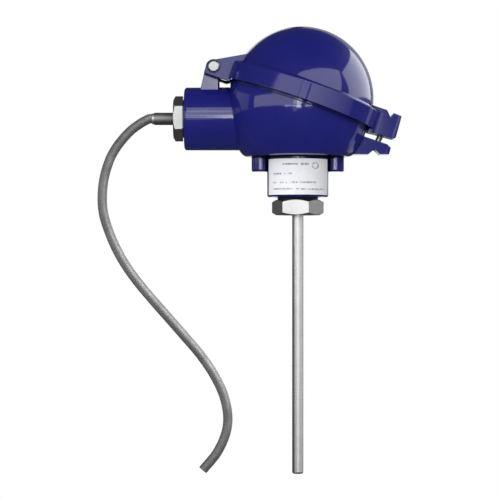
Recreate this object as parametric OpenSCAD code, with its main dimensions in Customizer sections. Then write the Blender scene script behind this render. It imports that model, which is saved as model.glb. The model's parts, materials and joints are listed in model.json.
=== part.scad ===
// Resistance thermometer with a cast connection head, a measuring stem and a braided cable.
// Millimetres, +Z up. The origin is on the stem's axis, at the lower face of the nipple's hexagon.
// The cable leaves towards -X and the lid's latch is towards +X.

/* [Stem] */
// Diameter of the measuring stem
stem_d = 6.35; // [5:0.05:8]
// Length of the stem below the hexagon
stem_len = 146; // [80:1:300]
// Wall of the stem's tube
stem_wall = 0.85; // [0.6:0.05:1.2]
// Length of the stem's turned spigot inside the nipple
spigot_len = 18; // [10:1:24]
// Diameter of the sensing element
element_d = 3.6; // [3.2:0.1:4]
// Length of the sensing element
element_len = 18; // [10:1:30]

/* [Nipple] */
// Width of the nipple's hexagon across its flats
nipple_af = 25.4; // [24.5:0.1:28]
// Height of the nipple's hexagon
nipple_hex_h = 8.6; // [6:0.1:12]
// Turn of the nipple's hexagon about the stem
nipple_turn = -7; // [-30:1:30]
// Diameter of the nipple's thread
nipple_thread_d = 21; // [18:0.5:22]
// Length of the nipple's thread inside the neck
nipple_thread_len = 15; // [8:0.5:18]
// Height of the sealing ring between hexagon and neck
nipple_seal_h = 1.5; // [1:0.1:3]
// Width of that sealing ring
nipple_seal_w = 1.4; // [0.8:0.1:1.8]

/* [Bowl] */
// Outer radius of the bowl's ball and of the lid's dome
ball_r = 40.6; // [38:0.1:46]
// Height of the ball's centre above the bowl's flat bottom
ball_rise = 26.9; // [24:0.1:30]
// Radius between the flat bottom and the ball
bottom_round = 5; // [2:0.5:8]
// Wall of the bowl
bowl_wall = 3.2; // [2.5:0.1:4]
// Thickness of the bowl's floor
floor_t = 4; // [3:0.1:6]
// Diameter of the neck
neck_d = 34.6; // [32:0.1:40]
// Height of the neck
neck_h = 22.8; // [18:0.1:32]
// Diameter of the throat between the neck's thread and the floor
throat_d = 16; // [12:0.5:18]
// Radius of the two screw bosses under the bowl
foot_boss_r = 5; // [4:0.1:6]
// Height of the screw bosses under the bowl
foot_boss_h = 8.4; // [5:0.1:14]

/* [Cable boss] */
// Diameter of the cable boss
boss_d = 35.6; // [30:0.1:38]
// Distance from the stem's axis to the boss's end face
boss_reach = 64; // [62:0.5:76]
// Depth of the boss's axis below the ball's centre
boss_drop = 5.4; // [4:0.1:8]
// Edge round at the boss's end
boss_round = 1.5; // [0.5:0.1:3]
// Diameter of the gland's thread
gland_thread_d = 20; // [16:0.5:22]
// Length of the gland's thread inside the boss
gland_thread_len = 12; // [8:0.5:14]

/* [Joint] */
// Slope of the joint between bowl and lid
joint_tilt = 19.1; // [12:0.1:22]
// Shift of the joint's centre towards the latch
joint_shift = 1; // [-1:0.1:1.5]
// Height of the joint's centre above the ball's centre
joint_rise = 2.5; // [1:0.1:4]
// How far the bowl's rim stands out from the ball
seat_proud = 0.4; // [0.2:0.1:1.5]
// How far the bowl's rim reaches up inside the lid's skirt
seat_up = 3; // [2:0.1:4]
// Height of the bowl's rim band
seat_band_h = 1.2; // [1:0.1:6]

/* [Lid] */
// Wall of the dome
dome_wall = 2.8; // [2.2:0.1:3.6]
// Height of the dome's centre above the joint
dome_rise = 3.6; // [2:0.1:5]
// Height of the lid's rim
rim_h = 10.3; // [8:0.1:14]
// Wall of the lid's skirt
skirt_wall = 2.1; // [1.6:0.1:3]
// Gap between the skirt and the bowl's rim
skirt_gap = 1; // [0.8:0.1:2]
// Radius in the corner between rim and dome
rim_fillet = 1.6; // [0.5:0.1:3]
// Edge round on the rim's upper edge
rim_round = 0.8; // [0.3:0.1:1.5]
// Width of the lid gasket
gasket_w = 2; // [1.5:0.1:2.4]
// Height of the lid gasket
gasket_h = 2; // [1.5:0.1:3]
// Gap between the metal faces of lid and bowl
metal_gap = 0.4; // [0.2:0.1:0.8]

/* [Hinge] */
// Distance of the hinge pin outside the lid's rim
hinge_out = 8.2; // [7.5:0.05:9.5]
// Height of the hinge pin above the joint
hinge_up = 3.5; // [2.5:0.1:5]
// Diameter of the hinge pin
pin_d = 4; // [3:0.1:5]
// Diameter of the pin's riveted heads
pin_head_d = 6.2; // [5.5:0.1:7]
// Height of the pin's riveted heads
pin_head_h = 1.3; // [0.8:0.1:2]
// Radius of the body's ears about the pin
ear_r = 4.6; // [4:0.1:5]
// Thickness of each of the body's ears
body_ear_t = 5; // [3:0.1:6]
// Half of the gap between the body's ears
ear_slot = 3.4; // [2:0.1:5]
// Thickness of each of the lid's ears
lid_ear_t = 4.5; // [3:0.1:6]

/* [Latch] */
// Distance outside the lid's rim of the point where the screw is tangent to the lid's swing
screw_out = 4.25; // [4:0.05:6.5]
// Depth of that point below the joint
screw_down = 7.2; // [6:0.1:9]
// Diameter of the lid screw's thread
screw_d = 4; // [3:0.1:5]
// Diameter of the lid screw's reduced shank
shank_d = 3.4; // [2.6:0.1:4]
// Diameter of the lid screw's head
screw_head_d = 6.2; // [5.5:0.1:7]
// Height of the lid screw's head
screw_head_h = 3; // [2:0.1:4]
// How far the lid screw backs out
screw_travel = 5; // [4.5:0.1:5.2]
// Half width of the lid's latch lug
lid_lug_w = 7; // [5.5:0.1:9]
// How far the lid's latch lug stands out from the rim
lid_lug_reach = 13.1; // [12.5:0.1:15]
// Height of the lid lug's top above the joint
lid_lug_top = 12.8; // [11:0.1:14]
// Depth of the lid screw's seat below the lid lug's top
head_sink = 5.5; // [4:0.1:6]
// Half width of the body's latch lug
body_lug_w = 6.5; // [5:0.1:9]
// How far the body's latch lug stands out from the lid screw
body_lug_reach = 8.6; // [7.5:0.1:10]

/* [Cable entry] */
// Width of the gland's hexagon across its flats
gland_af = 22.2; // [20.5:0.1:27]
// Length of the gland's hexagon
gland_hex_l = 5.4; // [4:0.1:10]
// Thickness of the gland's sealing ring
gland_seal_t = 0.8; // [0.5:0.1:2]
// Diameter of the cable sleeve
sleeve_d = 7; // [6.5:0.1:9]
// Length of the sleeve outside the gland
sleeve_len = 10.8; // [6:0.1:20]
// Diameter of the bush at the sleeve's end
bush_d = 6.2; // [5.8:0.1:6.4]
// Length of the bush outside the sleeve
bush_len = 1.3; // [0.8:0.1:3]
// Diameter of the cable
cable_d = 5.4; // [4:0.1:5.6]
// Diameter of a cable core
core_d = 1.3; // [1:0.1:1.5]
// Diameter of a lead of the sensing element
lead_d = 0.9; // [0.6:0.1:1]

/* [Terminals] */
// Length of the terminal base between its round ends
base_len = 54; // [52:1:58]
// Width of the terminal base
base_w = 34; // [31:1:36]
// Height of the terminal base
base_h = 9; // [7:0.5:11]
// Spacing of the base's mounting screws
mount_spacing = 42.2; // [40:0.1:43]
// Half spacing of the terminals along the cable's direction
post_dx = 9.5; // [8:0.5:10]
// Half spacing of the terminals across the cable's direction
post_dy = 8.5; // [7:0.5:9]
// Length of a brass post
post_l = 6; // [5:0.5:7]
// Width of a brass post
post_w = 7; // [5:0.5:8]
// Height of a brass post
post_h = 8; // [7:0.5:10]
// Diameter of the wire hole through a post
wire_hole_d = 2.2; // [1.8:0.1:2.8]
// Height of the rib between the terminals
rib_h = 7; // [4:0.5:8]
// Diameter of the terminal screws
terminal_screw_d = 3; // [2.5:0.1:3.5]
// Diameter of the mounting and earth screws
base_screw_d = 4; // [3:0.1:4.5]
// Depth of the mounting screws' seats in the terminal base
screw_sink = 3; // [2:0.1:4]
// Distance of the earth screw from the stem's axis
earth_y = 23; // [22.5:0.1:24]
// Height of the earth screw's boss
earth_boss_h = 3; // [2:0.1:4]

/* [Label] */
// Height of the label round the neck
label_h = 20.1; // [12:0.1:20.2]
// Gap between the label and the bowl
label_gap = 1.65; // [0.5:0.05:1.7]
// Thickness of the label
label_t = 0.25; // [0.15:0.05:0.6]
// Angle that the label wraps round the neck
label_angle = 140; // [60:1:200]

/* [Hidden] */
$fn = 96;

paint = [0.13, 0.11, 0.46];
steel = [0.72, 0.72, 0.70];
brass = [0.80, 0.62, 0.28];
eps = 0.01;
big = 200;
fit = 0.05;      // radial clearance of threads, spigots and pins
loose = 0.3;     // clearance between faces that pass each other

// Levels along the stem
neck_z = nipple_hex_h + nipple_seal_h;
undercut_d = nipple_thread_d - 1;
bowl_z = neck_z + neck_h;
floor_z = bowl_z + floor_t;
ball_z = bowl_z + ball_rise;
boss_z = ball_z - boss_drop;
ball_in = ball_r - bowl_wall;

// Joint, rim and hinge in the joint's own frame: u along the slope, y across, t square to it
joint_x = joint_shift;
joint_z = ball_z + joint_rise;
seat_r = ball_r + seat_proud;
skirt_r = seat_r + skirt_gap;
rim_r = skirt_r + skirt_wall;
dome_in = ball_r - dome_wall;
hinge_u = -(rim_r + hinge_out);
seat_face = seat_up + metal_gap;
gasket_r = seat_r - 0.3;
ear_front = 3.1;
body_ear_y = ear_slot + body_ear_t;
lid_ear_y = body_ear_y + loose;
pin_half = lid_ear_y + lid_ear_t + loose;

// Screw axis: square to the line from the hinge pin to the point at screw_u, -screw_down
screw_u = rim_r + screw_out;
screw_lean = atan2(hinge_up + screw_down, screw_u - hinge_u);
screw_hole_d = screw_d + 0.3;
lid_hole_d = shank_d + 0.2;
body_lug_top = 1.9;
body_lug_low = -3.1;
screw_tip = body_lug_low + 0.5;
lid_lug_low = -2;
// Backed out to its end, the screw has its thread just under the lid's lug
thread_top = (screw_down + lid_lug_low) / cos(screw_lean) - screw_travel - loose;
lug_root = -18;
head_seat = (lid_lug_top + screw_down) / cos(screw_lean) - head_sink;
lid_lug_end = rim_r + lid_lug_reach;
pocket_d = screw_head_d + 2 * loose;

// Cable entry, from the boss's end face outwards
seal_x = -boss_reach - gland_seal_t;
gland_x = seal_x - gland_hex_l;
sleeve_x = gland_x - sleeve_len;
bush_x = sleeve_x - bush_len;
shank_end_x = seal_x + gland_thread_len;
sleeve_end_x = shank_end_x + 1;
sleeve_tail_d = sleeve_d - 0.6;

// Stem
spigot_d = stem_d - 0.45;
stem_bore = stem_d - 2 * stem_wall;
tip_z = -stem_len;
element_z = tip_z + 1.5;
tip_round = 1;
lead_off = (element_d - lead_d) / 4 + 0.12;

// Terminals
base_top = floor_z + base_h;
post_z = base_top - 2;
wire_z = post_z + 5;
mount_x = mount_spacing / 2;
screw_bore = base_screw_d + 2 * fit;
base_head_d = base_screw_d * 1.75;
base_head_h = base_screw_d * 0.65;
terminal_head_d = terminal_screw_d * 5 / 3;
terminal_head_h = terminal_screw_d * 2 / 3;
earth_boss_d = base_head_d + 1.4;
washer_t = 1;
mouth_x = -ball_in;

// Points of the cable's route in the XZ plane, from the bush to the bare end
cable_route = [
  [-82.3, 54.4], [-84, 54.4], [-88.6, 52], [-94.3, 47.8], [-99.3, 42.5], [-103.3, 37],
  [-106.4, 31], [-109.3, 21.5], [-110.5, 11], [-109.8, 1], [-106.8, -9], [-102.3, -19.5],
  [-96.5, -29.5], [-89.5, -39], [-81.5, -48.5], [-72.5, -58.7], [-63.5, -69], [-55, -79],
  [-47.5, -90], [-42, -101.5], [-39.6, -113], [-40.6, -123], [-45.5, -134], [-53.6, -144]
];

// ---- helpers ----

module on_joint() {
  translate([joint_x, 0, joint_z]) rotate([0, joint_tilt, 0]) children();
}

// Frame of the lid screw: origin at the tangent point, +Z out of the lugs
module on_screw() {
  on_joint() translate([screw_u, 0, -screw_down]) rotate([0, screw_lean, 0]) children();
}

module along_x(x0, x1, d) {
  translate([x0, 0, 0]) rotate([0, 90, 0]) cylinder(h = x1 - x0, d = d);
}

// Extrudes an outline drawn in (x, z) across y, from y0 to y1
module across(y0, y1) {
  translate([0, y1, 0]) rotate([90, 0, 0]) linear_extrude(y1 - y0) children();
}

module both_sides() {
  children();
  mirror([0, 1, 0]) children();
}

// Hexagon with both ends turned to a 30 degree chamfer
module hexagon(af, h, low_chamfer, high_chamfer) {
  corner = af / sqrt(3);
  flat_r = af / 2 * 0.97;
  drop = (corner - flat_r) * tan(30);
  intersection() {
    cylinder(h = h, r = corner, $fn = 6);
    rotate_extrude() polygon([
      [0, 0], [low_chamfer ? flat_r : corner, 0], [corner, low_chamfer ? drop : 0],
      [corner, high_chamfer ? h - drop : h], [high_chamfer ? flat_r : corner, h], [0, h]
    ]);
  }
}

function unit(v) = v / norm(v);
function tangent(p, i) =
  unit(p[min(i + 1, len(p) - 1)] - p[max(i - 1, 0)]);

// Tube along points; side is a direction that the route never runs along
module tube(points, d, side, sides = 8) {
  n = len(points);
  rings = [
    for (i = [0 : n - 1])
      let (t = tangent(points, i), a = unit(cross(t, side)), b = cross(a, t))
        for (k = [0 : sides - 1])
          points[i] + d / 2 * (a * cos(360 * k / sides) + b * sin(360 * k / sides))
  ];
  walls = [
    for (i = [0 : n - 2], k = [0 : sides - 1])
      let (m = (k + 1) % sides, r = i * sides)
        [r + k, r + m, r + sides + m, r + sides + k]
  ];
  first = [for (k = [sides - 1 : -1 : 0]) k];
  last = [for (k = [0 : sides - 1]) (n - 1) * sides + k];
  polyhedron(points = rings, faces = concat([first], walls, [last]));
}

// Slotted cheese-head screw, head up, with its seat at z = 0
module cheese_screw(d, len, head_d, head_h, slot_w) {
  difference() {
    union() {
      translate([0, 0, -len]) cylinder(h = len + eps, d = d);
      cylinder(h = head_h, d = head_d);
    }
    translate([-head_d, -slot_w / 2, head_h * 0.55]) cube([2 * head_d, slot_w, head_h]);
  }
}

// ---- head ----

// Half section of the bowl's outside: ball, flat bottom and the round between them
module bowl_section() {
  low = -ball_rise;
  c_x = sqrt(pow(ball_r - bottom_round, 2) - pow(ball_rise - bottom_round, 2));
  c_z = low + bottom_round;
  difference() {
    intersection() {
      circle(r = ball_r);
      translate([0, low]) square([ball_r, 2 * ball_r]);
    }
    polygon([[c_x, low - 1], [c_x, c_z], [c_x * (low - 1) / c_z, low - 1]]);
  }
  intersection() {
    translate([c_x, c_z]) circle(r = bottom_round);
    translate([0, low]) square([ball_r, 2 * ball_r]);
  }
}

module bowl_outside() {
  intersection() {
    translate([0, 0, ball_z]) rotate_extrude() bowl_section();
    on_joint() translate([-big / 2, -big / 2, -big]) cube([big, big, big]);
  }
  on_joint() rotate_extrude() polygon([
    [0, -seat_band_h], [seat_r, -seat_band_h], [seat_r, seat_up - 0.4],
    [seat_r - 0.4, seat_up], [0, seat_up]
  ]);
}

module cable_boss() {
  translate([-boss_reach, 0, boss_z]) rotate([0, 90, 0]) rotate_extrude() {
    square([boss_d / 2 - boss_round, boss_round]);
    translate([0, boss_round]) square([boss_d / 2, boss_reach - ball_r / 2]);
    intersection() {
      translate([boss_d / 2 - boss_round, boss_round]) circle(r = boss_round);
      square([boss_d, boss_round]);
    }
  }
}

// Ear of the body: stands on the cable boss and rounds over the pin
module body_ear_outline() {
  root = [-boss_reach + 8.9, boss_z + boss_d / 2 - 3];
  pin = pin_at();
  reach = norm(pin - root);
  lean = atan2(pin[1] - root[1], pin[0] - root[0]) + asin(ear_r / reach);
  run = sqrt(reach * reach - ear_r * ear_r);
  polygon([
    root, root + run * [cos(lean), sin(lean)], pin, pin + [ear_front, 0],
    pin + [ear_front, root[1] - pin[1]]
  ]);
  intersection() {
    translate(pin) circle(r = ear_r);
    translate(pin - 2 * [ear_r, ear_r]) square([2 * ear_r + ear_front, 4 * ear_r]);
  }
}

// One ear of the body, its outer face bevelled along the edge that faces the lid
module body_ear() {
  bevel = 0.8;
  difference() {
    across(ear_slot, body_ear_y) body_ear_outline();
    translate([pin_at()[0] + ear_front, body_ear_y, pin_at()[1]]) rotate([0, 0, 45])
      cube([bevel * sqrt(2), bevel * sqrt(2), 8 * ear_r], center = true);
  }
}

// Hinge pin's place in (x, z)
function pin_at() = [
  joint_x + hinge_u * cos(joint_tilt) + hinge_up * sin(joint_tilt),
  joint_z - hinge_u * sin(joint_tilt) + hinge_up * cos(joint_tilt)
];

// Tangent point of the screw in (x, z)
function screw_at() = [
  joint_x + screw_u * cos(joint_tilt) - screw_down * sin(joint_tilt),
  joint_z - screw_u * sin(joint_tilt) - screw_down * cos(joint_tilt)
];

// Side view of the body's latch lug in the screw's frame: its top lies along the joint, and a
// V-notch is below
module body_lug_outline() {
  rise = tan(screw_lean);
  bevel_u = body_lug_reach - 3.4;
  low = body_lug_low - 3.7;
  polygon([
    [lug_root, body_lug_top + lug_root * rise], [bevel_u, body_lug_top + bevel_u * rise],
    [body_lug_reach - 0.7, body_lug_top - 0.4], [body_lug_reach, body_lug_low + 0.8],
    [body_lug_reach - 4.4, body_lug_low - 1.4], [0, body_lug_low], [-2, low], [lug_root, low]
  ]);
}

module body_lug() {
  lug_bottom = bowl_z + 1.2;
  corner = 2;
  end = body_lug_reach;
  intersection() {
    on_screw() across(-body_lug_w, body_lug_w) body_lug_outline();
    translate([0, -body_lug_w, lug_bottom]) cube([big, 2 * body_lug_w, big]);
    on_screw() translate([0, 0, -big / 2]) linear_extrude(big) {
      translate([lug_root, -body_lug_w]) square([end - corner - lug_root, 2 * body_lug_w]);
      translate([lug_root, -body_lug_w + corner]) square([end - lug_root, 2 * (body_lug_w - corner)]);
      both_sides() translate([end - corner, body_lug_w - corner]) circle(r = corner);
    }
  }
  // Web that carries the lug down to the level of the bowl's bottom
  intersection() {
    across(-body_lug_w, body_lug_w) polygon([
      [ball_r / 2, lug_bottom], [screw_at()[0] - 4.8, lug_bottom],
      [screw_at()[0] - 2.4, lug_bottom + 2.4], [screw_at()[0] - 6.5, screw_at()[1] + 3],
      [ball_r / 2, screw_at()[1] + 8]
    ]);
    on_screw() translate([-big, -big / 2, -big]) cube([2 * big, big, big + body_lug_top]);
  }
}

module foot_bosses() {
  for (side = [-1, 1]) translate([side * mount_x, 0, bowl_z - foot_boss_h]) {
    translate([0, 0, 1]) cylinder(h = foot_boss_h + 1, r = foot_boss_r);
    rotate_extrude() {
      square([foot_boss_r - 1, 1 + eps]);
      intersection() {
        translate([foot_boss_r - 1, 1]) circle(r = 1);
        square([foot_boss_r, 1 + eps]);
      }
    }
  }
}

module chamber() {
  intersection() {
    translate([0, 0, ball_z]) sphere(r = ball_in);
    translate([-big / 2, -big / 2, floor_z]) cube([big, big, big]);
  }
  on_joint() translate([0, 0, -joint_rise]) cylinder(h = joint_rise + seat_up + 1, r = ball_in + 0.3);
}

module head_body() {
  color(paint) difference() {
    union() {
      bowl_outside();
      translate([0, 0, neck_z + 0.8]) cylinder(h = neck_h + 1, d = neck_d);
      translate([0, 0, neck_z]) cylinder(h = 0.8 + eps, d1 = neck_d - 1.6, d2 = neck_d);
      cable_boss();
      foot_bosses();
      body_lug();
      both_sides() body_ear();
    }
    difference() {
      chamber();
      for (side = [-1, 1]) translate([side * mount_x, 0, 0]) cylinder(h = floor_z, r = 3);
      translate([0, earth_y, 0]) cylinder(h = floor_z + earth_boss_h, d = earth_boss_d);
    }
    translate([0, 0, neck_z - 1]) cylinder(h = nipple_thread_len + 2.5, d = nipple_thread_d);
    translate([0, 0, neck_z]) cylinder(h = neck_h + floor_t + 1, d = throat_d);
    translate([0, 0, boss_z]) {
      along_x(-boss_reach - 1, shank_end_x + 2.5, gland_thread_d);
      along_x(-boss_reach, -ball_in * 0.8, gland_thread_d - 4);
    }
    for (side = [-1, 1]) translate([side * mount_x, 0, bowl_z - foot_boss_h + 2])
      cylinder(h = big / 4, d = screw_bore);
    translate([0, earth_y, bowl_z + 1.6]) cylinder(h = big / 4, d = screw_bore);
    translate([pin_at()[0], -big / 4, pin_at()[1]]) rotate([-90, 0, 0])
      cylinder(h = big / 2, d = pin_d + 2 * fit);
    on_screw() translate([0, 0, 3 * body_lug_low]) cylinder(h = big / 8, d = screw_hole_d);
  }
}

// ---- lid ----

module lid_section() {
  f_x = sqrt(pow(ball_r + rim_fillet, 2) - pow(rim_h + rim_fillet - dome_rise, 2));
  f_t = rim_h + rim_fillet;
  way = [f_x, f_t - dome_rise] / (ball_r + rim_fillet);
  on_dome = [0, dome_rise] + way * ball_r;
  // Dome
  intersection() {
    translate([0, dome_rise]) circle(r = ball_r);
    translate([0, dome_rise]) square(2 * ball_r);
  }
  // Rim and skirt
  square([rim_r, rim_h - rim_round]);
  translate([0, rim_h - rim_round - eps]) square([rim_r - rim_round, rim_round + eps]);
  translate([rim_r - rim_round, rim_h - rim_round]) circle(r = rim_round);
  // Fillet between rim and dome
  difference() {
    polygon([[ball_r * 0.75, rim_h - 1], [f_x, rim_h - 1], [f_x, f_t], on_dome, [ball_r * 0.75, f_t]]);
    translate([f_x, f_t]) circle(r = rim_fillet);
  }
}

// Half section of the space inside the lid: dome, skirt and gasket groove
module lid_hollow_section() {
  intersection() {
    translate([0, dome_rise]) circle(r = dome_in);
    translate([0, dome_rise]) square(2 * dome_in);
  }
  translate([0, -big / 4]) {
    square([dome_in, big / 4 + dome_rise]);
    square([skirt_r, big / 4 + seat_face]);
  }
  translate([gasket_r - gasket_w - fit, 0]) square([gasket_w + 2 * fit, seat_up + gasket_h]);
}

// Ear of the lid: a gusset from the dome's side out to the pin
module lid_ear_outline() {
  tail = hinge_u - 4.1;
  low = -1.6;
  inner = -0.8 * dome_in;
  polygon([
    [tail, low], [0.6 - rim_r, low], [1 - skirt_r, 0], [inner, 0], [inner, rim_h + 8.8],
    [-0.9 * ball_r, rim_h + 6.2], [hinge_u - 0.6, hinge_up + 3.9], [hinge_u - 3.2, hinge_up + 2.7],
    [tail, hinge_up]
  ]);
}

// Side view of the lid's latch lug in the joint's frame, with its notch above
module lid_lug_outline() {
  notch_u = screw_u + 2.5;
  low = lid_lug_low;
  corner = 1;
  polygon([
    [0.8 * ball_r, low], [rim_r, low], [lid_lug_end - corner, low + 0.8],
    [lid_lug_end, low + 0.9 + corner], [lid_lug_end - 0.9, lid_lug_top - 0.6],
    [notch_u + 0.5, lid_lug_top - 0.4], [notch_u, lid_lug_top - 3.4],
    [notch_u - 3.4, lid_lug_top], [0.8 * ball_r, lid_lug_top]
  ]);
}

module lid_lug() {
  root_r = 3;
  corner = 2.3;
  end = lid_lug_end;
  inner = 0.75 * ball_r;
  c_y = lid_lug_w + root_r;
  c_u = sqrt(pow(rim_r + root_r, 2) - c_y * c_y);
  intersection() {
    across(-c_y, c_y) lid_lug_outline();
    translate([0, 0, -big / 4]) linear_extrude(big / 2) {
      translate([inner, -lid_lug_w]) square([end - corner - inner, 2 * lid_lug_w]);
      translate([inner, -lid_lug_w + corner]) square([end - inner, 2 * (lid_lug_w - corner)]);
      both_sides() {
        translate([end - corner, lid_lug_w - corner]) circle(r = corner);
        difference() {
          polygon([
            [inner, 0], [c_u, 0], [c_u, c_y], [c_u, c_y] * rim_r / (rim_r + root_r), [inner, c_y]
          ]);
          translate([c_u, c_y]) circle(r = root_r);
        }
      }
    }
    // Above the rim the lug grows out of the dome
    union() {
      translate([0, 0, -5]) cylinder(h = 5 + rim_h, r = big / 2);
      translate([0, -lid_lug_w, 0]) cube([big / 2, 2 * lid_lug_w, big / 4]);
    }
  }
}

module lid() {
  color(paint) difference() {
    on_joint() difference() {
      union() {
        rotate_extrude() lid_section();
        both_sides() across(lid_ear_y, lid_ear_y + lid_ear_t) lid_ear_outline();
        lid_lug();
      }
      rotate_extrude() lid_hollow_section();
      translate([hinge_u, -big / 4, hinge_up]) rotate([-90, 0, 0])
        cylinder(h = big / 2, d = pin_d + 2 * fit);
    }
    on_screw() {
      cylinder(h = big / 4, d = lid_hole_d);
      translate([0, 0, head_seat]) cylinder(h = big / 4, d = pocket_d);
    }
  }
}

module lid_gasket() {
  color([0.12, 0.12, 0.13]) on_joint() translate([0, 0, seat_up]) difference() {
    cylinder(h = gasket_h, r = gasket_r);
    translate([0, 0, -1]) cylinder(h = gasket_h + 2, r = gasket_r - gasket_w);
  }
}

module hinge_pin() {
  color(steel) translate([pin_at()[0], 0, pin_at()[1]]) rotate([90, 0, 0]) rotate_extrude() {
    translate([0, -pin_half]) square([pin_d / 2, 2 * pin_half]);
    for (side = [0, 1]) mirror([0, side]) translate([0, pin_half]) {
      square([pin_head_d / 2, pin_head_h - 0.4]);
      polygon([
        [0, pin_head_h - 0.4 - eps], [pin_head_d / 2, pin_head_h - 0.4 - eps],
        [pin_head_d / 2 - 0.5, pin_head_h], [0, pin_head_h]
      ]);
    }
  }
}

module lid_screw() {
  color(steel) on_screw() difference() {
    rotate_extrude() polygon([
      [0, screw_tip], [screw_d / 2 - 0.5, screw_tip], [screw_d / 2, screw_tip + 0.5],
      [screw_d / 2, thread_top], [shank_d / 2, thread_top + 0.3], [shank_d / 2, head_seat],
      [screw_head_d / 2, head_seat], [screw_head_d / 2, head_seat + screw_head_h - 0.4],
      [screw_head_d / 2 - 0.4, head_seat + screw_head_h], [0, head_seat + screw_head_h]
    ]);
    translate([-screw_head_d, -0.6, head_seat + screw_head_h - 1.4]) cube([2 * screw_head_d, 1.2, 3]);
  }
}

// ---- neck and stem ----

module label() {
  color("white") translate([0, 0, bowl_z - label_gap - label_h]) rotate([0, 0, -90 - label_angle / 2])
    rotate_extrude(angle = label_angle) translate([neck_d / 2, 0]) square([label_t, label_h]);
}

module stem_nipple() {
  color(steel) difference() {
    union() {
      rotate([0, 0, nipple_turn]) hexagon(nipple_af, nipple_hex_h, true, true);
      cylinder(h = neck_z + 1, d = undercut_d);
      translate([0, 0, neck_z]) cylinder(h = nipple_thread_len, d = nipple_thread_d - 2 * fit);
    }
    translate([0, 0, -1]) cylinder(h = big / 4, d = spigot_d + 2 * fit);
  }
}

module nipple_seal() {
  color([0.12, 0.12, 0.13]) translate([0, 0, nipple_hex_h]) difference() {
    cylinder(h = nipple_seal_h, d = undercut_d + 2 * nipple_seal_w);
    translate([0, 0, -1]) cylinder(h = nipple_seal_h + 2, d = undercut_d + 2 * fit);
  }
}

module stem() {
  color(steel) difference() {
    rotate_extrude() {
      translate([0, tip_z + tip_round]) square([stem_d / 2, stem_len - tip_round]);
      translate([0, tip_z]) square([stem_d / 2 - tip_round, tip_round + eps]);
      intersection() {
        translate([stem_d / 2 - tip_round, tip_z + tip_round]) circle(r = tip_round);
        translate([0, tip_z]) square([stem_d, tip_round + eps]);
      }
      square([spigot_d / 2, spigot_len]);
    }
    translate([0, 0, element_z]) cylinder(h = big * 3, d = stem_bore);
  }
}

module sensing_element() {
  color([0.93, 0.92, 0.88]) translate([0, 0, element_z]) cylinder(h = element_len, d = element_d);
}

module stem_seal() {
  seal_len = 6;
  color([0.25, 0.22, 0.2]) difference() {
    translate([0, 0, spigot_len - seal_len]) cylinder(h = seal_len, d = stem_bore);
    for (x = [-1, 1], y = [-1, 1]) translate([x * lead_off, y * lead_off, 0])
      cylinder(h = big / 4, d = lead_d + 2 * fit);
  }
}

// ---- wiring ----

// One lead: straight up from the sensing element, then out to the inner side of a post
function lead_route(sx, sy) = [
  [sx * lead_off, sy * lead_off, element_z + element_len],
  [sx * lead_off, sy * lead_off, base_top - 3],
  [sx * (lead_off + 0.5), sy * (lead_off + 1), base_top],
  [sx * (lead_off + 1.2), sy * post_dy * 0.55, wire_z - 0.3],
  [sx * (lead_off + 2), sy * post_dy * 0.88, wire_z],
  [sx * (post_dx - post_l / 2 - 0.6), sy * post_dy, wire_z],
  [sx * (post_dx - 0.7), sy * post_dy, wire_z]
];

module sensor_leads() {
  color([0.85, 0.83, 0.78]) for (sx = [-1, 1], sy = [-1, 1])
    tube(lead_route(sx, sy), lead_d, [sx * 0.9, -sy * 0.43, 0.02], 6);
}

// Core to a post on the cable's side
function near_core(sy) = [
  [sleeve_end_x, sy * 1, boss_z + 0.9], [sleeve_end_x + 4, sy * 1, boss_z + 0.9],
  [mouth_x - 0.4, sy * 2.6, boss_z + 1], [mouth_x + 7.6, sy * 5, boss_z - 0.6],
  [-post_dx - 11, sy * (post_dy - 1), wire_z + 2.4], [-post_dx - 7.5, sy * post_dy, wire_z + 0.5],
  [-post_dx - 5, sy * post_dy, wire_z], [-post_dx + 0.3, sy * post_dy, wire_z]
];

// Core to a post on the far side, round the outside of the near one
function far_core(sy) = [
  [sleeve_end_x, sy * 1, boss_z - 0.9], [sleeve_end_x + 4, sy * 1, boss_z - 0.9],
  [mouth_x - 2.4, sy * 4, boss_z - 0.6], [mouth_x + 4.6, sy * 8.5, boss_z - 0.3],
  [mouth_x + 12.6, sy * (post_dy + 4.6), wire_z + 3.8],
  [-post_dx - 3, sy * (post_dy + 6.1), wire_z + 2], [0, sy * (post_dy + 6.2), wire_z + 1],
  [post_dx, sy * (post_dy + 6), wire_z + 0.6], [post_dx + 5, sy * (post_dy + 5.3), wire_z + 0.3],
  [post_dx + 8, sy * (post_dy + 3.2), wire_z], [post_dx + 8, sy * (post_dy + 1), wire_z],
  [post_dx + 5.8, sy * post_dy, wire_z], [post_dx - 0.3, sy * post_dy, wire_z]
];

module cable_cores() {
  color([0.8, 0.2, 0.15]) for (sy = [-1, 1]) {
    tube(near_core(sy), core_d, [0, 0, 1], 6);
    tube(far_core(sy), core_d, [0, 0, 1], 6);
  }
}

// ---- terminals ----

module post_places() {
  for (x = [-post_dx, post_dx], y = [-post_dy, post_dy]) translate([x, y, post_z]) children();
}

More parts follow.
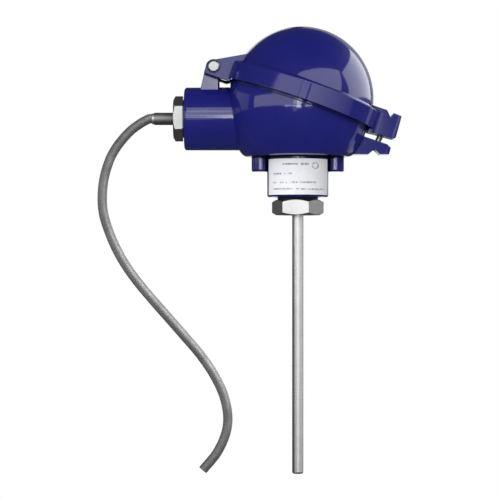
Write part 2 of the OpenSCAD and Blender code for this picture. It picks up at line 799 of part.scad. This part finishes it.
module terminal_base() {
  rib_half = post_dx + 5;
  color([0.90, 0.88, 0.83]) difference() {
    union() {
      translate([0, 0, floor_z]) intersection() {
        cylinder(h = base_h, d = base_len);
        translate([-base_len, -base_w / 2, 0]) cube([2 * base_len, base_w, base_h]);
      }
      translate([-rib_half, -1, base_top - eps]) cube([2 * rib_half, 2, rib_h]);
    }
    translate([0, 0, floor_z - 1]) cylinder(h = base_h + rib_h + 2, d = 9);
    post_places() translate([-post_l / 2 - fit, -post_w / 2 - fit, 0])
      cube([post_l + 2 * fit, post_w + 2 * fit, post_h]);
    for (side = [-1, 1]) translate([side * mount_x, 0, floor_z]) {
      translate([0, 0, -1]) cylinder(h = base_h + 2, d = screw_bore + 0.2);
      translate([0, 0, base_h - screw_sink]) cylinder(h = rib_h + 4, d = base_head_d + 1);
    }
  }
}

module terminal_posts() {
  color(brass) post_places() difference() {
    translate([-post_l / 2, -post_w / 2, 0]) cube([post_l, post_w, post_h]);
    translate([0, 0, wire_z - post_z]) along_x(-post_l, post_l, wire_hole_d);
    cylinder(h = post_h + 1, d = terminal_screw_d + 2 * fit);
  }
}

module terminal_screws() {
  reach = post_h - (wire_z - post_z) - wire_hole_d / 2;
  color(steel) post_places() translate([0, 0, post_h])
    cheese_screw(terminal_screw_d, reach, terminal_head_d, terminal_head_h, 0.8);
}

module mounting_screws() {
  reach = base_h - screw_sink + floor_t + foot_boss_h - 4;
  color(steel) for (side = [-1, 1]) translate([side * mount_x, 0, base_top - screw_sink])
    cheese_screw(base_screw_d, reach, base_head_d, base_head_h, 1);
}

module earth_screw() {
  color(steel) translate([0, earth_y, floor_z + earth_boss_h + washer_t])
    cheese_screw(base_screw_d, earth_boss_h + 2.6, base_head_d, base_head_h, 1);
}

module earth_washer() {
  color(steel) translate([0, earth_y, floor_z + earth_boss_h]) difference() {
    cylinder(h = washer_t, d = earth_boss_d);
    translate([0, 0, -1]) cylinder(h = washer_t + 2, d = base_screw_d + 0.3);
  }
}

// ---- cable entry ----

module cable_gland() {
  color(steel) translate([0, 0, boss_z]) difference() {
    union() {
      translate([gland_x, 0, 0]) rotate([0, 90, 0]) hexagon(gland_af, gland_hex_l, true, false);
      along_x(seal_x - 1, -boss_reach + 1, gland_thread_d - 1);
      along_x(-boss_reach, shank_end_x, gland_thread_d - 2 * fit);
    }
    along_x(gland_x - 1, shank_end_x + 1, sleeve_tail_d + 2 * fit);
  }
}

module gland_seal() {
  color([0.12, 0.12, 0.13]) translate([0, 0, boss_z]) difference() {
    along_x(seal_x, -boss_reach, gland_af - 1);
    along_x(seal_x - 1, -boss_reach + 1, gland_thread_d - 1 + 2 * fit);
  }
}

module cable_sleeve() {
  color([0.45, 0.45, 0.44]) translate([0, 0, boss_z]) difference() {
    union() {
      along_x(sleeve_x, gland_x, sleeve_d);
      along_x(gland_x - 1, sleeve_end_x, sleeve_tail_d);
    }
    along_x(sleeve_x - 1, sleeve_x + 4, bush_d - 1 + 2 * fit);
  }
}

module cable_bush() {
  color([0.85, 0.85, 0.84]) translate([0, 0, boss_z]) {
    along_x(bush_x, sleeve_x, bush_d);
    along_x(sleeve_x - eps, sleeve_x + 4, bush_d - 1);
  }
}

module sensor_cable() {
  color([0.5, 0.5, 0.49]) tube([for (p = cable_route) [p[0], 0, p[1]]], cable_d, [0, 1, 0], 10);
}

head_body();
lid();
lid_gasket();
hinge_pin();
lid_screw();
label();
stem_nipple();
stem();
nipple_seal();
stem_seal();
sensing_element();
sensor_leads();
terminal_base();
terminal_posts();
terminal_screws();
mounting_screws();
earth_screw();
earth_washer();
cable_cores();
cable_gland();
gland_seal();
cable_sleeve();
cable_bush();
sensor_cable();
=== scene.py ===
"""Looks for a resistance thermometer: cast head with a hinged lid, measuring stem and braided cable.

Metres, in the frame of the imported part: the stem runs down -Z from the nipple's hexagon at the
origin, the cable leaves towards -X and the lid's latch is at +X.
"""

import json
import math

import bmesh
import bpy
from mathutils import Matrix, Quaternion, Vector

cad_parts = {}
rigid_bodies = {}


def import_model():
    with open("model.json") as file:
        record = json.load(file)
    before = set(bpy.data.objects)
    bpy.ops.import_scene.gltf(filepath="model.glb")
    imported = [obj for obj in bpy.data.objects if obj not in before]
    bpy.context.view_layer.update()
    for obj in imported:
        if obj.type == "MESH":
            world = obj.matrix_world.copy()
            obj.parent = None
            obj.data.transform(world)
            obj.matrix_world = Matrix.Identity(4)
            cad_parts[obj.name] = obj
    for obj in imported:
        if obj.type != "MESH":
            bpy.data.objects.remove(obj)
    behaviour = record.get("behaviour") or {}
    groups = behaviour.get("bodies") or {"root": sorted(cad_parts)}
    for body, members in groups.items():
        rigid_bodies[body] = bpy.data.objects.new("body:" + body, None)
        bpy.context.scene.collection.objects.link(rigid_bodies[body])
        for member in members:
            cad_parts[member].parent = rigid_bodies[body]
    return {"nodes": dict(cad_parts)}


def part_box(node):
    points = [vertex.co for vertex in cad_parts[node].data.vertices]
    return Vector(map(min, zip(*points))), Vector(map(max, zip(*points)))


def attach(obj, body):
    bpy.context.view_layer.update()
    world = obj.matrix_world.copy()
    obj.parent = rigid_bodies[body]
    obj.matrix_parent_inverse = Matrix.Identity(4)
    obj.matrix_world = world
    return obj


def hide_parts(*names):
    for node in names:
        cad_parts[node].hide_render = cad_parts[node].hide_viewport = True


for left_over in list(bpy.data.objects):
    bpy.data.objects.remove(left_over)

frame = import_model()
bpy.context.view_layer.update()
nodes = frame["nodes"]

MM = 0.001

# ---- camera ----

# A long lens, square to the XZ plane
VIEW_X, VIEW_Z = -0.0270, -0.0197
VIEW_DISTANCE = 1.0
SENSOR_WIDTH = 36
LENS = 127.4

camera = bpy.data.objects.new("camera", bpy.data.cameras.new("camera"))
bpy.context.scene.collection.objects.link(camera)
camera.location = (VIEW_X, -VIEW_DISTANCE, VIEW_Z)
camera.rotation_euler = (math.radians(90), 0, 0)
camera.data.sensor_width = SENSOR_WIDTH
camera.data.lens = LENS
bpy.context.scene.camera = camera


# ---- materials ----


def add_node(tree, kind, inputs=(), **settings):
    """Adds a shader node. Each input is linked to a socket or set to a value."""
    node = tree.nodes.new(kind)
    for key, value in settings.items():
        setattr(node, key, value)
    for key, value in dict(inputs).items():
        if isinstance(value, bpy.types.NodeSocket):
            tree.links.new(value, node.inputs[key])
        else:
            node.inputs[key].default_value = value
    return node


def opaque(colour):
    """Gives a colour of three numbers its alpha, and leaves a socket as it is."""
    return (*colour, 1.0) if isinstance(colour, tuple) else colour


class Finish:
    """A node material around one Principled shader, textured in the part's own coordinates."""

    def __init__(self, name, **values):
        self.material = bpy.data.materials.new(name)
        self.material.use_nodes = True
        self.tree = self.material.node_tree
        self.shader = self.tree.nodes["Principled BSDF"]
        self.place = self.node("ShaderNodeTexCoord").outputs["Object"]
        for socket, value in values.items():
            self.set(socket.replace("_", " ").title(), value)

    def set(self, socket, value):
        target = self.shader.inputs[socket]
        if isinstance(value, bpy.types.NodeSocket):
            self.tree.links.new(value, target)
        else:
            target.default_value = value

    def node(self, kind, inputs=(), **settings):
        return add_node(self.tree, kind, inputs, **settings)

    def stretched(self, scale):
        """Coordinates scaled by a different amount along each axis."""
        mapping = self.node("ShaderNodeMapping", {"Vector": self.place, "Scale": scale})
        return mapping.outputs["Vector"]

    def noise(self, scale, detail=3.0, rough=0.55, where=None):
        texture = self.node(
            "ShaderNodeTexNoise",
            {"Vector": where or self.place, "Scale": scale, "Detail": detail, "Roughness": rough},
        )
        return texture.outputs["Fac"]

    def span(self, value, low, high, start=0.3, end=0.7):
        """Maps a texture value from start..end to low..high."""
        mapped = self.node(
            "ShaderNodeMapRange",
            {"Value": value, "From Min": start, "From Max": end, "To Min": low, "To Max": high},
        )
        return mapped.outputs["Result"]

    def blend(self, factor, first, second):
        """Mixes two colours. The mix node has its colours at inputs 6 and 7."""
        colours = {0: factor, 6: opaque(first), 7: opaque(second)}
        return self.node("ShaderNodeMix", colours, data_type="RGBA").outputs[2]

    def math(self, operation, first, second=0.0):
        return self.node("ShaderNodeMath", {0: first, 1: second}, operation=operation).outputs[0]

    def near(self, value, centre, reach):
        """1 where the value lies within reach of the centre, else 0."""
        inputs = {0: value, 1: centre, 2: reach}
        return self.node("ShaderNodeMath", inputs, operation="COMPARE").outputs[0]

    def bump(self, height, depth, strength=1.0, under=None):
        inputs = {"Height": height, "Distance": depth, "Strength": strength}
        if under:
            inputs["Normal"] = under
        return self.node("ShaderNodeBump", inputs).outputs["Normal"]


def blue_paint():
    """Glossy enamel on a casting: a clear coat over a deep blue, with a faint orange peel."""
    f = Finish("blue_paint", roughness=0.5, coat_roughness=0.08)
    f.set("Specular IOR Level", 0.1)
    cloud = f.span(f.noise(55, 4), 0, 1)
    enamel = f.blend(cloud, (0.0050, 0.0070, 0.122), (0.0070, 0.0084, 0.142))
    # Painted shade: ambient occlusion darkens the base colour to near black and takes the coat away
    # in crevices and seams, where shade falls
    seam_shade = f.node("ShaderNodeAmbientOcclusion", {"Distance": 2.2 * MM}, samples=8)
    clear = f.span(seam_shade.outputs["AO"], 0, 1, 0.6, 0.82)
    f.set("Base Color", f.blend(clear, (0.0012, 0.0016, 0.02), enamel))
    f.set("Coat Weight", clear)
    # Paint rounds the casting's edges off
    edges = f.node("ShaderNodeBevel", {"Radius": 0.5 * MM}, samples=6).outputs["Normal"]
    peel = f.bump(f.noise(420, 2, 0.5), 0.03 * MM, 0.3, edges)
    wave = f.bump(f.noise(60, 2, 0.4), 0.1 * MM, 0.25, peel)
    f.set("Coat Normal", wave)
    f.set("Normal", peel)
    return f.material


def black_rubber():
    f = Finish("black_rubber")
    grain = f.noise(900, 4)
    f.set("Base Color", f.blend(f.span(grain, 0, 1), (0.018, 0.018, 0.020), (0.034, 0.034, 0.038)))
    f.set("Roughness", f.span(f.noise(300), 0.5, 0.75))
    f.set("Normal", f.bump(grain, 0.05 * MM, 0.4))
    return f.material


def metal(name, dark, light, rough, grain, along="z", depth=0.02 * MM):
    """Turned or drawn metal: fine marks across the given axis, with soft clouding."""
    f = Finish(name, metallic=1.0)
    stretch = {"z": (40, 40, grain), "x": (grain, 40, 40), "none": (grain, grain, grain)}[along]
    marks = f.noise(1.0, 3, 0.6, f.stretched(stretch))
    cloud = f.noise(180, 3)
    f.set("Base Color", f.blend(f.span(cloud, 0, 1), dark, light))
    f.set("Roughness", f.span(marks, *rough))
    f.set("Normal", f.bump(marks, depth, 0.5))
    return f.material


def grey_metal(name, dark, light, *marks):
    """Metal of a plain grey, from a dark to a light tone."""
    return metal(name, (dark,) * 3, (light,) * 3, *marks)


def ceramic():
    f = Finish("ceramic")
    grain = f.noise(700, 4)
    f.set("Base Color", f.blend(f.span(grain, 0, 1), (0.60, 0.57, 0.50), (0.74, 0.72, 0.66)))
    f.set("Roughness", f.span(f.noise(240), 0.45, 0.65))
    f.set("Normal", f.bump(grain, 0.04 * MM, 0.4))
    return f.material


def potting():
    f = Finish("potting")
    cloud = f.noise(500, 3)
    f.set("Base Color", f.blend(f.span(cloud, 0, 1), (0.02, 0.018, 0.016), (0.05, 0.04, 0.036)))
    f.set("Roughness", f.span(cloud, 0.25, 0.45))
    f.set("Normal", f.bump(cloud, 0.06 * MM, 0.4))
    return f.material


def core_plastic():
    f = Finish("core_plastic")
    cloud = f.noise(400, 2)
    f.set("Base Color", f.blend(f.span(cloud, 0, 1), (0.36, 0.022, 0.016), (0.46, 0.035, 0.026)))
    f.set("Roughness", f.span(cloud, 0.32, 0.42))
    f.set("Normal", f.bump(f.noise(1500, 2), 0.02 * MM, 0.3))
    return f.material


def lead_sleeving():
    f = Finish("lead_sleeving", roughness=0.8)
    wave = f.node("ShaderNodeTexWave", {"Vector": f.place, "Scale": 700.0, "Distortion": 2.0})
    weave = wave.outputs["Fac"]
    f.set("Base Color", f.blend(weave, (0.52, 0.50, 0.44), (0.74, 0.72, 0.66)))
    f.set("Normal", f.bump(weave, 0.06 * MM, 0.6))
    return f.material


# Printed bars: from x, to x, height of the middle above the label's lower edge, half height (mm)
LABEL_BARS = [
    (-9.2, -0.5, 17.0, 0.5), (1.2, 6.1, 17.0, 0.6), (-13.8, -9.6, 11.7, 0.45),
    (-8.3, -7.4, 11.7, 0.4), (-6.2, -3.7, 11.7, 0.45), (-13.9, -12.0, 6.8, 0.45),
    (-10.4, -8.5, 6.8, 0.4), (-7.1, -6.4, 6.8, 0.45), (-5.3, -0.1, 6.8, 0.4),
    (0.6, 9.9, 6.8, 0.45), (-13.9, -3.0, 3.2, 0.45), (-1.5, 0.5, 3.2, 0.3),
    (1.2, 14.2, 3.0, 0.4),
]
# Printed ring: x, height of its middle, radius and half the width of its line
RING_X = 9.4 * MM
RING_HEIGHT = 16.2 * MM
RING_R = 1.6 * MM
RING_LINE = 0.35 * MM


def label_ink(f):
    """1 on the bars and the ring, which face the front of the neck, else 0."""
    low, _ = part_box("label")
    split = f.node("ShaderNodeSeparateXYZ", {"Vector": f.place}).outputs
    dx = f.math("SUBTRACT", split["X"], RING_X)
    dz = f.math("SUBTRACT", split["Z"], low.z + RING_HEIGHT)
    radius = f.math("SQRT", f.math("ADD", f.math("MULTIPLY", dx, dx), f.math("MULTIPLY", dz, dz)))
    ink = f.near(radius, RING_R, RING_LINE)
    for x0, x1, height, half in LABEL_BARS:
        beside = f.near(split["X"], (x0 + x1) / 2 * MM, (x1 - x0) / 2 * MM)
        in_row = f.near(split["Z"], low.z + height * MM, half * MM)
        ink = f.math("MAXIMUM", ink, f.math("MULTIPLY", beside, in_row))
    front = f.math("LESS_THAN", split["Y"], 0.0)
    return f.math("MULTIPLY", ink, front)


def white_label():
    """Foil label with pale printed bars and a ring, in place of any words."""
    f = Finish("white_label", coat_weight=0.05, coat_roughness=0.3)
    f.set("Specular IOR Level", 0.3)
    # Small print is uneven along a row
    letters = f.span(f.noise(1.0, 1, 0.5, f.stretched((1100, 1100, 500))), 0.15, 0.95, 0.35, 0.6)
    faded = f.math("MULTIPLY", label_ink(f), letters)
    paper = f.blend(f.span(f.noise(260, 3), 0, 1), (0.78, 0.79, 0.82), (0.83, 0.84, 0.86))
    f.set("Base Color", f.blend(faded, paper, (0.22, 0.23, 0.27)))
    f.set("Roughness", f.span(f.noise(500), 0.4, 0.55))
    f.set("Normal", f.bump(f.noise(150, 2), 0.05 * MM, 0.25))
    return f.material


def steel_braid():
    """Wires run along the strands, which the mesh itself carries with their height in its UVs."""
    f = Finish("steel_braid", metallic=0.85)
    strands = f.node("ShaderNodeUVMap", uv_map="strands").outputs["UV"]
    split = f.node("ShaderNodeSeparateXYZ", {"Vector": strands}).outputs
    wires_in_strand = 6
    wires = f.math("SINE", f.math("MULTIPLY", split["X"], 2 * math.pi * wires_in_strand))
    fine = f.math("MULTIPLY", f.math("ADD", wires, 1.0), 0.5)
    bright = f.blend(f.span(f.noise(130, 4), 0, 1), (0.22, 0.22, 0.22), (0.31, 0.31, 0.31))
    # Painted shade: the low places between strands and the gaps between wires are darkened in the
    # base colour, by the strand height in the UVs
    deep = f.blend(fine, (0.08, 0.08, 0.08), (0.16, 0.16, 0.16))
    f.set("Base Color", f.blend(f.span(split["Y"], 0, 1, 0.15, 0.75), deep, bright))
    f.set("Roughness", f.span(f.noise(800, 3), 0.5, 0.65))
    f.set("Normal", f.bump(fine, 0.02 * MM, 0.3))
    return f.material


# Metals: tones from dark to light, roughness from and to, fineness of the marks, their axis, depth
finishes = {
    "blue_paint": blue_paint(),
    "black_rubber": black_rubber(),
    "bright_steel": metal(
        "bright_steel", (0.60, 0.60, 0.61), (0.70, 0.70, 0.71), (0.32, 0.44), 900, "none"
    ),
    "nickel": grey_metal("nickel", 0.68, 0.78, (0.30, 0.36), 2600, "z", 0.008 * MM),
    "drawn_steel": grey_metal("drawn_steel", 0.70, 0.76, (0.26, 0.34), 3000, "z", 0.05 * MM),
    "bush_steel": grey_metal("bush_steel", 0.74, 0.80, (0.50, 0.58), 900, "x"),
    "dark_steel": grey_metal("dark_steel", 0.30, 0.40, (0.5, 0.6), 2400, "x"),
    "steel_braid": steel_braid(),
    "white_label": white_label(),
    "ceramic": ceramic(),
    "potting": potting(),
    "brass": metal("brass", (0.60, 0.40, 0.13), (0.74, 0.52, 0.20), (0.22, 0.36), 1500, "none"),
    "core_plastic": core_plastic(),
    "lead_sleeving": lead_sleeving(),
}

# Every node gets the finish that its slot is named after, but the cable's bush has one of its own
for name, node in nodes.items():
    for place in node.material_slots:
        slot = place.material.name.split(".")[0]
        place.material = finishes["bush_steel" if name == "cable_bush" else slot]


# ---- cable ----

# The cable's route in the XZ plane, in millimetres, from the bush to the bare end
ROUTE = [
    (-82.3, 54.4), (-84, 54.4), (-88.6, 52), (-94.3, 47.8), (-99.3, 42.5), (-103.3, 37),
    (-106.4, 31), (-109.3, 21.5), (-110.5, 11), (-109.8, 1), (-106.8, -9), (-102.3, -19.5),
    (-96.5, -29.5), (-89.5, -39), (-81.5, -48.5), (-72.5, -58.7), (-63.5, -69), (-55, -79),
    (-47.5, -90), (-42, -101.5), (-39.6, -113), (-40.6, -123), (-45.5, -134), (-53.6, -144),
]
ROUTE_STEP = 0.25 * MM
CABLE_R = 2.7 * MM
POINTS_AROUND = 72
STRANDS = 12  # In each of the braid's two directions
LAY = 15.0 * MM  # Length of a strand's turn
RELIEF = 0.16 * MM
# Shares of a strand's height: where it runs level, and by how much it rises and dips in the weave
LEVEL, WEAVE = 0.62, 0.38
NARROWING = 1.05  # Above 1 it leaves a groove between neighbouring strands


def smooth_path(points, step):
    """Points about step apart on a Catmull-Rom curve through the given ones."""
    ends = [2 * points[0] - points[1], *points, 2 * points[-1] - points[-2]]
    out = []
    for a, b, c, d in zip(ends, ends[1:], ends[2:], ends[3:]):
        pieces = max(1, round((c - b).length / step))
        for i in range(pieces):
            t = i / pieces
            out.append(
                0.5 * (2 * b + (c - a) * t + (2 * a - 5 * b + 4 * c - d) * t * t
                       + (3 * b - a - 3 * c + d) * t ** 3)
            )
    out.append(points[-1].copy())
    return out


def braid_height(across, along):
    """Relief of a braid, 0 to 1, at counts of strands in its two directions.

    Also gives the place across the strand on top, 0 to 1.
    """
    fa, fb = across % 1.0, along % 1.0
    parity = 1 if (math.floor(across) + math.floor(along)) % 2 == 0 else -1
    ridge_a = math.sqrt(max(0.0, 1 - (2 * fa - 1) ** 2 * NARROWING))
    ridge_b = math.sqrt(max(0.0, 1 - (2 * fb - 1) ** 2 * NARROWING))
    over_a = ridge_a * (LEVEL + WEAVE * parity * math.sin(math.pi * fb))
    over_b = ridge_b * (LEVEL - WEAVE * parity * math.sin(math.pi * fa))
    return (over_a, fa) if over_a >= over_b else (over_b, fb)


def braid_rings(mesh, path):
    """Rings of vertices along the path, with the offset and height of the braid at each."""
    side = Vector((0, 1, 0))
    rings, marks = [], []
    run = 0.0
    for i, p in enumerate(path):
        before, after = path[max(i - 1, 0)], path[min(i + 1, len(path) - 1)]
        out = side.cross((after - before).normalized())
        if i:
            run += (p - path[i - 1]).length
        ring, values = [], []
        for k in range(POINTS_AROUND):
            turn = k / POINTS_AROUND
            a = 2 * math.pi * turn
            height, offset = braid_height(
                STRANDS * (turn + run / LAY), STRANDS * (turn - run / LAY)
            )
            r = CABLE_R - RELIEF * (1 - height)
            ring.append(mesh.verts.new(p + r * (side * math.cos(a) + out * math.sin(a))))
            values.append((offset, height))
        rings.append(ring)
        marks.append(values)
    return rings, marks


def braided_cable(path):
    mesh = bmesh.new()
    layer = mesh.loops.layers.uv.new("strands")
    rings, marks = braid_rings(mesh, path)
    for i in range(len(rings) - 1):
        for k in range(POINTS_AROUND):
            m = (k + 1) % POINTS_AROUND
            face = mesh.faces.new((rings[i][k], rings[i][m], rings[i + 1][m], rings[i + 1][k]))
            face.smooth = True
            corners = (marks[i][k], marks[i][m], marks[i + 1][m], marks[i + 1][k])
            for loop, value in zip(face.loops, corners):
                loop[layer].uv = value
    mesh.faces.new(rings[0][::-1])
    mesh.faces.new(rings[-1])
    bmesh.ops.recalc_face_normals(mesh, faces=mesh.faces)
    data = bpy.data.meshes.new("braided_cable")
    mesh.to_mesh(data)
    mesh.free()
    data.materials.append(finishes["steel_braid"])
    made = bpy.data.objects.new("braided_cable", data)
    bpy.context.scene.collection.objects.link(made)
    return made


cable_path = smooth_path([Vector((x * MM, 0, z * MM)) for x, z in ROUTE], ROUTE_STEP)
cable = braided_cable(cable_path)
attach(cable, "head")
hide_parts("sensor_cable")


# ---- lamps ----

# All lamps face this point, and their angles and distances are measured from it
AIM = Vector((0.0, 0.0, 0.05))
BOWL_STAND = 1.2
RIM_STAND = 1.25
ROOM = 1.3
BRAID_STAND = 1.4
FILL_STAND = 1.6


def direction(azimuth, elevation):
    """Azimuth 0 points to the camera's side and 90 to +X; elevation is above the horizon."""
    a, e = math.radians(azimuth), math.radians(elevation)
    return Vector((math.sin(a) * math.cos(e), -math.cos(a) * math.cos(e), math.sin(e)))


def fade_lamp(lamp, share_left):
    """Dims a lamp evenly from full at its left-hand end to a share at its right-hand end."""
    lamp.use_nodes = True
    tree = lamp.node_tree
    surface = add_node(tree, "ShaderNodeNewGeometry").outputs["Parametric"]
    across = add_node(tree, "ShaderNodeSeparateXYZ", {0: surface}).outputs["X"]
    inputs = {"Value": across, "To Min": 1.0, "To Max": share_left}
    share = add_node(tree, "ShaderNodeMapRange", inputs).outputs["Result"]
    tree.links.new(share, tree.nodes["Emission"].inputs["Strength"])


def softbox(name, azimuths, elevations, distance, radiance, only=None, roll=0.0, fade=None):
    """A flat rectangular lamp that fills those angles, in degrees, as seen from AIM.

    It lights only some pieces if asked. Roll turns it about its own axis, and fade is the
    share of its light that is left at its right-hand end.
    """
    azimuth = sum(azimuths) / 2
    elevation = sum(elevations) / 2
    width = 2 * distance * math.tan(math.radians((azimuths[1] - azimuths[0]) / 2))
    height = 2 * distance * math.tan(math.radians((elevations[1] - elevations[0]) / 2))
    lamp = bpy.data.lights.new(name, "AREA")
    lamp.shape = "RECTANGLE"
    lamp.size, lamp.size_y = width, height
    lamp.energy = radiance * math.pi * width * height
    if fade is not None:
        fade_lamp(lamp, fade)
    stand = bpy.data.objects.new(name, lamp)
    bpy.context.scene.collection.objects.link(stand)
    back = direction(azimuth, elevation)
    stand.location = AIM + distance * back
    turned = back.to_track_quat("Z", "Y") @ Quaternion((0, 0, 1), math.radians(roll))
    stand.rotation_euler = turned.to_euler()
    stand.visible_camera = False
    if only:
        stand.light_linking.receiver_collection = only
    return stand


def group(name, *pieces):
    """Pieces that a lamp of their own lights."""
    made = bpy.data.collections.new(name)
    for piece in pieces:
        made.objects.link(piece)
    return made


metal_names = ("stem", "stem_nipple", "cable_gland", "cable_sleeve", "cable_bush")
others = (piece for name, piece in nodes.items() if name not in (*metal_names, "label"))
paint = group("paint", cable, *others)
all_but_label = group("all_but_label", nodes["label"])
all_but_label.collection_objects[0].light_linking.link_state = "EXCLUDE"

# The room: large soft windows, and dimmer walls around them
softbox("front_softbox", (-4, 64), (7, 43), ROOM, 2.3, all_but_label)
softbox("right_window", (79, 142), (4, 38), ROOM, 2.8, paint)
softbox("left_strip", (-74, -5), (2.2, 19), ROOM, 2.0)
softbox("middle_strip", (-5, -2.9), (4.8, 7), ROOM, 2.2, paint)
softbox("left_wall", (-122, -86), (0, 18), ROOM, 0.5)
softbox("back_right_wall", (146, 176), (0, 35), ROOM, 0.4)
softbox("back_left_wall", (-178, -160), (3, 27), ROOM, 1.1)
softbox("low_right", (118, 150), (-28, -2), ROOM, 0.5)

# The bright spot below the rim, the stripe along the cable boss and the feet
bowl = group("bowl", nodes["head_body"])
for name, azimuths, elevations, radiance in (
    ("key_left", (-8, -2.6), (4.2, 10.5), 3.0),
    ("key_core", (-2.6, 3), (4.2, 10.5), 9.0),
    ("key_low", (-3.3, 3.8), (-1.5, 4.2), 8.0),
    ("key_right", (3, 8.4), (5.2, 10.5), 4.0),
    ("key_fade", (9.4, 28), (-0.5, 10.5), 1.1),
    ("boss_high", (-9, -2.5), (19, 26), 2.0),
    ("boss_low", (-9, -3.4), (-7, 2), 1.2),
    ("foot_glow", (-22, 3), (0.7, 2.2), 7.0),
    ("foot_glow_right", (9.4, 22), (0.7, 2.2), 6.5),
):
    softbox(name, azimuths, elevations, BOWL_STAND, radiance, bowl)

# The long reflection along the rim, fading to the right
rim = group("rim", nodes["lid"])
softbox("rim_middle", (-2.9, 6.2), (1.8, 6), RIM_STAND, 2.2, rim)
softbox("rim_front", (7.5, 78), (-11.5, 0.5), RIM_STAND, 2.2, rim, roll=-14.5, fade=0.1)

# Lamps for the bright metal, which the dark paint would show as hard patches
metals = group("metals", *(nodes[name] for name in metal_names))
turned = group("turned", *(nodes[name] for name in metal_names if name != "cable_gland"))
stem = group("stem_only", nodes["stem"])
softbox("metal_window", (79, 142), (4, 38), ROOM, 1.3, metals)
softbox("metal_front", (-16, 24), (-19, 6), ROOM, 1.15, turned)
softbox("stem_left", (-70, -16), (-20, 6), ROOM, 0.5, stem)
softbox("stem_right", (24, 110), (-20, 6), ROOM, 0.6, stem)

# The light streak along the lower half of the cable, and a glow on its other side from below
braid = group("braid", cable)
softbox("braid_streak", (38, 62), (20, 38), BRAID_STAND, 18.0, braid)
softbox("braid_low", (-110, -50), (-40, -8), BRAID_STAND, 0.8, braid)

# Soft fills that gloss doesn't show: one from the upper left, one for the label alone
label_only = group("label_only", nodes["label"])
fill = softbox("left_fill", (-110, -30), (20, 70), FILL_STAND, 1.1)
paper = softbox("label_fill", (-62, 62), (-30, 10), FILL_STAND, 1.8, label_only)
for lamp in (fill, paper):
    lamp.visible_glossy = False


# ---- floor, backdrop and world ----

WHITE = (1, 1, 1, 1)
FLOOR_Z = -0.30
FLOOR_REACH = 5
BACK_Y = 4.0
BACK_LEFT, BACK_RIGHT = -0.78, 0.73
BACK_FOOT, BACK_TOP = -0.29, 0.72
# Share of plain white in the floor near the object, where its shadows show. It grows between two
# distances, and past the second the floor is all white.
NEAR_WHITE = 0.55
SHADOWS_TO, WHITE_FROM = 0.35, 0.8
PALE = (0.9, 0.9, 0.9, 1)
PALE_ROUGHNESS = 0.9
# Strength of the room's white light on surfaces, and in their gloss
AMBIENT, AMBIENT_GLOSS = 0.35, 0.045


def white_to_the_eye(tree, shade, level, output, also_gloss):
    """Mixes plain white into a shader for camera rays, and for gloss and glass if asked.

    The level is a share from 0 to 1, or a socket that gives it.
    """
    rays = add_node(tree, "ShaderNodeLightPath").outputs
    seen = rays["Is Camera Ray"]
    if also_gloss:
        for ray in ("Is Glossy Ray", "Is Transmission Ray"):
            either = add_node(tree, "ShaderNodeMath", {0: seen, 1: rays[ray]}, operation="MAXIMUM")
            seen = either.outputs[0]
    amount = add_node(tree, "ShaderNodeMath", {0: seen, 1: level}, operation="MULTIPLY")
    kind = "ShaderNodeBackground" if output == "World Output" else "ShaderNodeEmission"
    white = add_node(tree, kind, {"Color": WHITE, "Strength": 1.0})
    inputs = {0: amount.outputs[0], 1: shade, 2: white.outputs[0]}
    mix = add_node(tree, "ShaderNodeMixShader", inputs)
    tree.links.new(mix.outputs[0], tree.nodes[output].inputs["Surface"])


def whiter_outwards(tree):
    """A share of white that grows with the distance from the middle of a sheet."""
    place = add_node(tree, "ShaderNodeTexCoord").outputs["Object"]
    away = add_node(tree, "ShaderNodeVectorMath", {0: place}, operation="LENGTH").outputs["Value"]
    inputs = {"Value": away, "From Min": SHADOWS_TO, "From Max": WHITE_FROM, "To Min": NEAR_WHITE}
    share = add_node(tree, "ShaderNodeMapRange", inputs, interpolation_type="SMOOTHSTEP")
    return share.outputs["Result"]


def stage_sheet(name, corners):
    """A pale matt sheet, with its node tree and its shader's output."""
    data = bpy.data.meshes.new(name)
    data.from_pydata(corners, [], [(0, 1, 2, 3)])
    sheet = bpy.data.objects.new(name, data)
    bpy.context.scene.collection.objects.link(sheet)
    material = bpy.data.materials.new(name)
    material.use_nodes = True
    data.materials.append(material)
    shader = material.node_tree.nodes["Principled BSDF"]
    shader.inputs["Base Color"].default_value = PALE
    shader.inputs["Roughness"].default_value = PALE_ROUGHNESS
    return sheet, material.node_tree, shader.outputs[0]


floor, floor_tree, floor_shade = stage_sheet(
    "floor",
    [(FLOOR_REACH * x, FLOOR_REACH * y, 0) for x, y in ((-1, -1), (1, -1), (1, 1), (-1, 1))],
)
white_to_the_eye(floor_tree, floor_shade, whiter_outwards(floor_tree), "Material Output", False)
floor.location.z = FLOOR_Z
floor.visible_glossy = False

_, back_tree, back_shade = stage_sheet(
    "backdrop",
    [
        (BACK_LEFT, BACK_Y, BACK_FOOT), (BACK_RIGHT, BACK_Y, BACK_FOOT),
        (BACK_RIGHT, BACK_Y, BACK_TOP), (BACK_LEFT, BACK_Y, BACK_TOP),
    ],
)
white_to_the_eye(back_tree, back_shade, 1.0, "Material Output", True)

world = bpy.data.worlds.new("studio")
bpy.context.scene.world = world
world.use_nodes = True
sky_tree = world.node_tree
sky = sky_tree.nodes["Background"]
sky.inputs["Color"].default_value = WHITE
in_gloss = add_node(sky_tree, "ShaderNodeLightPath").outputs["Is Glossy Ray"]
dim_inputs = {"Value": in_gloss, "To Min": AMBIENT, "To Max": AMBIENT_GLOSS}
dim = add_node(sky_tree, "ShaderNodeMapRange", dim_inputs)
sky_tree.links.new(dim.outputs["Result"], sky.inputs["Strength"])
white_to_the_eye(sky_tree, sky.outputs[0], 1.0, "World Output", False)

bpy.context.scene.view_settings.view_transform = "Standard"

bpy.context.view_layer.update()
